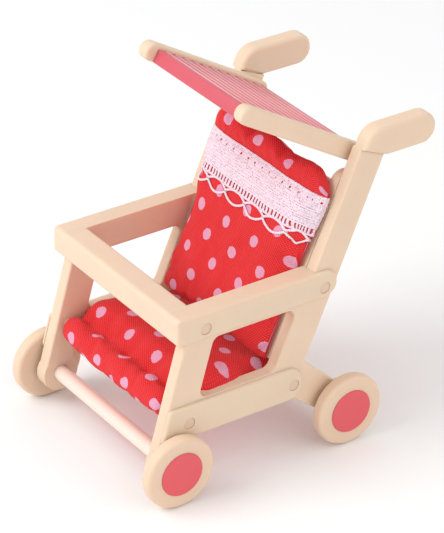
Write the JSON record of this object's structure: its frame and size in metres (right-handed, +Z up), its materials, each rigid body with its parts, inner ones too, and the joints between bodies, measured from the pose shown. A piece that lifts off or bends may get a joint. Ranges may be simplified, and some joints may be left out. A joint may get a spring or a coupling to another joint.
{
  "type": "doll stroller",
  "caption": "Small moulded doll stroller with a dotted padded seat, a lace band on the back, a tilting canopy and round wheels on turning axles.",
  "frame": {"origin": "middle of the footprint on the ground", "axes": "+Z up, -Y towards the front wheels, +X the stroller's left side"},
  "size_m": [0.0504, 0.0673, 0.0764],
  "materials": {
    "cream_plastic": "satin",
    "pin_plastic": "satin",
    "wheel_plastic": "satin",
    "hub_pink": "satin",
    "canopy_pink": "ribbed, satin",
    "dotted_cloth": "woven",
    "lace": "lace"
  },
  "bodies": {
    "chassis": {"side_frame_left": "cream_plastic", "armrest_left": "cream_plastic", "lower_rail_left": "cream_plastic", "handle_grip_left": "cream_plastic", "back_slat_left": "cream_plastic", "armrest_pins_left": "pin_plastic", "rail_pins_left": "pin_plastic", "side_frame_right": "cream_plastic", "armrest_right": "cream_plastic", "lower_rail_right": "cream_plastic", "handle_grip_right": "cream_plastic", "back_slat_right": "cream_plastic", "armrest_pins_right": "pin_plastic", "rail_pins_right": "pin_plastic", "front_bar": "cream_plastic", "seat_front_rod": "pin_plastic", "seat_rear_rod": "pin_plastic", "back_lower_rod": "pin_plastic", "back_upper_rod": "pin_plastic", "seat_pad": "dotted_cloth", "back_pad": "dotted_cloth", "lace_band": "lace"},
    "front_wheelset": {"front_axle": "pin_plastic", "front_wheel_left": "wheel_plastic", "front_wheel_right": "wheel_plastic", "front_hub_cap_left": "hub_pink", "front_hub_cap_right": "hub_pink"},
    "rear_wheelset": {"rear_axle": "pin_plastic", "rear_wheel_left": "wheel_plastic", "rear_wheel_right": "wheel_plastic", "rear_hub_cap_left": "hub_pink", "rear_hub_cap_right": "hub_pink"},
    "canopy": {"canopy_panel": "canopy_pink", "canopy_arm_left": "cream_plastic", "canopy_arm_right": "cream_plastic", "canopy_pin_left": "pin_plastic", "canopy_pin_right": "pin_plastic"}
  },
  "joints": [
    {"name": "front_wheels_roll", "type": "hinge", "parent": "chassis", "child": "front_wheelset", "pos_m": [0, -0.02615, 0.0075], "axis": [1, 0, 0], "continuous": true},
    {"name": "rear_wheels_roll", "type": "hinge", "parent": "chassis", "child": "rear_wheelset", "pos_m": [0, 0.01369, 0.0075], "axis": [1, 0, 0], "continuous": true},
    {"name": "canopy_tilt", "type": "hinge", "parent": "chassis", "child": "canopy", "pos_m": [0, 0.01856, 0.0596], "axis": [-1, 0, 0], "range_deg": [-15, 75]}
  ]
}
